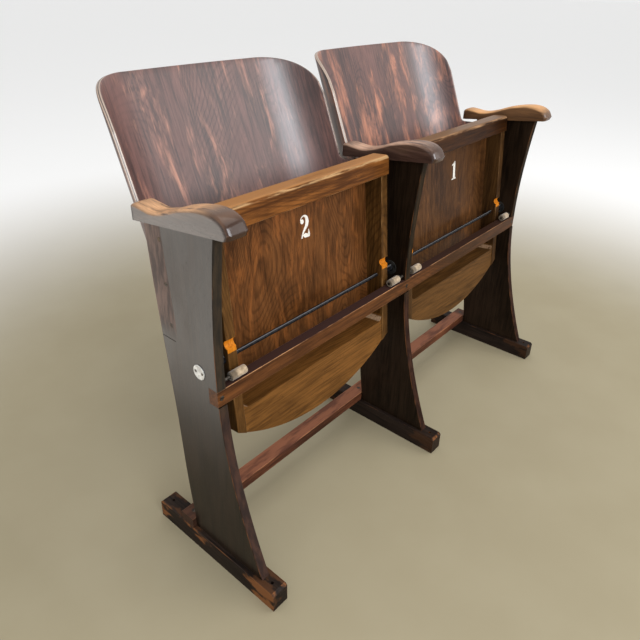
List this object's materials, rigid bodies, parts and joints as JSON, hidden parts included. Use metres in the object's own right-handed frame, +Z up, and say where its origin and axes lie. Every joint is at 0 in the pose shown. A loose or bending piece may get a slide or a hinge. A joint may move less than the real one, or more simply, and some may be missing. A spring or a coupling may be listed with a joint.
{
  "type": "cinema bench",
  "caption": "Tip-up cinema bench in stained beech: hollow bent-plywood backs, shaped side panels with saddle armrests, flat feet and plywood seats that fold up on steel rods.",
  "frame": {"origin": "centre of the middle foot rail's underside, on the floor", "axes": "+X along the row to the viewer's right from the front, -Y to the front, +Z up"},
  "size_m": [1.098, 0.4853, 0.8423],
  "materials": {
    "panel_wood": "dark stained beech, satin varnish, worn arrises",
    "armrest_wood": "stained beech worn to bare wood on top",
    "stretcher_wood": "stained beech, worn front arris",
    "foot_wood": "dark stained beech, scuffed",
    "back_plywood": "stained bent beech plywood, satin varnish",
    "seat_plywood": "stained beech plywood, satin varnish",
    "seat_frame_wood": "stained beech, satin varnish, worn arrises",
    "rear_board_wood": "stained beech, satin varnish",
    "dowel_wood": "plain beech",
    "black_steel": "black paint, gloss",
    "plate_steel": "dull dark steel",
    "disc_metal": "dull, scratched",
    "screw_steel": "darkened steel",
    "felt": "rolled felt"
  },
  "bodies": {
    "frame": {"foot_rail_left": "foot_wood", "foot_rail_middle": "foot_wood", "foot_rail_right": "foot_wood", "foot_dowels": "dowel_wood", "side_panel_left": "panel_wood", "side_panel_middle": "panel_wood", "side_panel_right": "panel_wood", "armrest_left": "armrest_wood", "armrest_middle": "armrest_wood", "armrest_right": "armrest_wood", "armrest_dowels": "dowel_wood", "front_stretcher": "stretcher_wood", "stretcher_screws": "screw_steel", "lower_stretcher": "stretcher_wood", "lower_stretcher_screws": "screw_steel", "back_shell_left": "back_plywood", "back_shell_right": "back_plywood", "back_shell_screws": "screw_steel", "rebate_screws": "screw_steel", "felt_roll_left_seat_left": "felt", "felt_roll_left_seat_right": "felt", "felt_roll_right_seat_left": "felt", "felt_roll_right_seat_right": "felt", "felt_roll_pins": "screw_steel", "pivot_plate_left_seat_left": "plate_steel", "pivot_plate_left_seat_right": "plate_steel", "pivot_plate_right_seat_left": "plate_steel", "pivot_plate_right_seat_right": "plate_steel", "pivot_plate_screws": "screw_steel", "end_disc_left": "disc_metal", "end_disc_right": "disc_metal", "end_disc_screws": "screw_steel"},
    "seat_left": {"seat_left_front_rail": "seat_frame_wood", "seat_left_side_rail_left": "seat_frame_wood", "seat_left_side_rail_right": "seat_frame_wood", "seat_left_rear_board": "rear_board_wood", "seat_left_plywood_panel": "seat_plywood", "seat_left_hinge_rod": "black_steel", "seat_left_spacer_left": "black_steel", "seat_left_spacer_right": "black_steel", "seat_left_panel_nails": "screw_steel", "seat_left_corner_dowels": "dowel_wood"},
    "seat_right": {"seat_right_front_rail": "seat_frame_wood", "seat_right_side_rail_left": "seat_frame_wood", "seat_right_side_rail_right": "seat_frame_wood", "seat_right_rear_board": "rear_board_wood", "seat_right_plywood_panel": "seat_plywood", "seat_right_hinge_rod": "black_steel", "seat_right_spacer_left": "black_steel", "seat_right_spacer_right": "black_steel", "seat_right_panel_nails": "screw_steel", "seat_right_corner_dowels": "dowel_wood"}
  },
  "joints": [
    {"name": "seat_left_fold", "type": "hinge", "parent": "frame", "child": "seat_left", "pos_m": [-0.265, 0.0028, 0.433], "axis": [1, 0, 0], "range_deg": [0, 87.3]},
    {"name": "seat_right_fold", "type": "hinge", "parent": "frame", "child": "seat_right", "pos_m": [0.265, 0.0028, 0.433], "axis": [1, 0, 0], "range_deg": [0, 87.3]}
  ]
}
